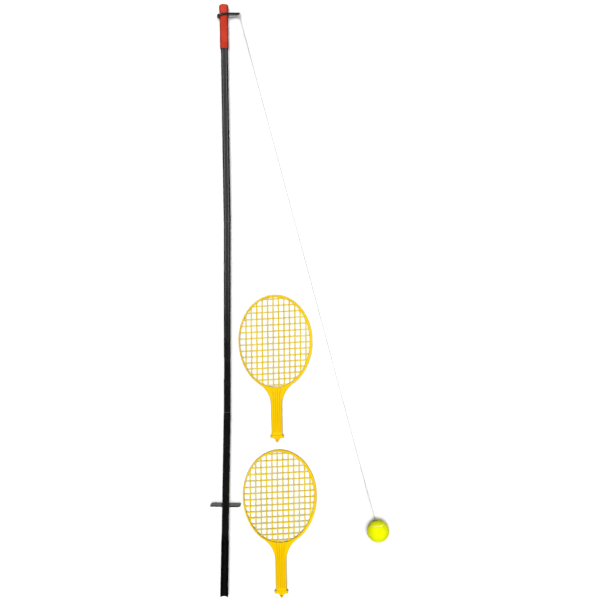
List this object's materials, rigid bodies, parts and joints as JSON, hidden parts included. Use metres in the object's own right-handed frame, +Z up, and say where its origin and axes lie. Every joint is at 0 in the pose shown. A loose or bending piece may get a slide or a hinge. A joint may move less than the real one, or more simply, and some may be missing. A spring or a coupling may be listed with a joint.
{
  "type": "tetherball set",
  "caption": "Take-apart tetherball set: sectional steel ground pole with a spiral top and travelling arm, a felt ball on a cord, and stringed plastic bats, laid out flat.",
  "frame": {"origin": "on the floor, at the middle of the laid-out set's box", "axes": "+Y along the pole from the ground spike to the spiral top, +X across the set from the pole to the ball, +Z up from the floor"},
  "size_m": [0.5262, 1.755, 0.0655],
  "materials": {
    "black_paint": "satin black paint",
    "black_gloss": "gloss black paint",
    "bare_steel": "bare drawn steel",
    "orange_plastic": "moulded red-orange plastic",
    "bat_plastic": "moulded yellow plastic",
    "string_plastic": "moulded yellow plastic, thin and a little lighter",
    "cord": "braided white cord",
    "rubber": "pressed rubber core",
    "felt": "fluorescent yellow felt"
  },
  "bodies": {
    "ground_section": {"bottom_tube": "black_paint", "foot_plate": "black_paint", "plate_weld": "black_paint", "lower_spigot": "bare_steel"},
    "middle_section": {"middle_tube": "black_paint", "upper_spigot": "bare_steel"},
    "top_section": {"top_tube": "black_paint", "spiral_screw": "orange_plastic", "top_cap": "orange_plastic"},
    "nut": {"follower_nut": "bare_steel"},
    "arm": {"swivel_arm": "black_gloss"},
    "line": {"cord_loop": "cord", "loop_knot": "cord", "cord": "cord", "ball_knot": "cord", "rubber_core": "rubber", "felt_cover": "felt"},
    "bat_a": {"bat_a_frame": "bat_plastic", "bat_a_butt": "bat_plastic", "bat_a_strings": "string_plastic"},
    "bat_b": {"bat_b_frame": "bat_plastic", "bat_b_butt": "bat_plastic", "bat_b_strings": "string_plastic"}
  },
  "joints": [
    {"name": "middle_pull_off", "type": "slide", "parent": "ground_section", "child": "middle_section", "axis": [0, 1, 0], "range_m": [0, 0.06]},
    {"name": "top_pull_off", "type": "slide", "parent": "middle_section", "child": "top_section", "axis": [-0.0162, 0.9999, 0], "range_m": [0, 0.06]},
    {"name": "nut_travel", "type": "slide", "parent": "top_section", "child": "nut", "axis": [0.0162, -0.9999, 0], "range_m": [0, 0.084]},
    {"name": "arm_spin", "type": "hinge", "parent": "nut", "child": "arm", "pos_m": [-0.22443, 0.84567, 0.0207], "axis": [0.0162, -0.9999, 0], "range_deg": [0, 5040]},
    {"name": "cord_swing", "type": "hinge", "parent": "arm", "child": "line", "pos_m": [-0.17958, 0.8508, 0.0207], "axis": [0, 0, 1], "range_deg": [0, 100]},
    {"name": "bat_a_lift", "type": "slide", "parent": "ground_section", "child": "bat_a", "axis": [0, 0, 1], "range_m": [0, 0.3]},
    {"name": "bat_b_lift", "type": "slide", "parent": "ground_section", "child": "bat_b", "axis": [0, 0, 1], "range_m": [0, 0.3]}
  ],
  "couplings": [
    {"joint": "nut_travel", "follows": "arm_spin", "m_per_rad": 0.00095493}
  ]
}
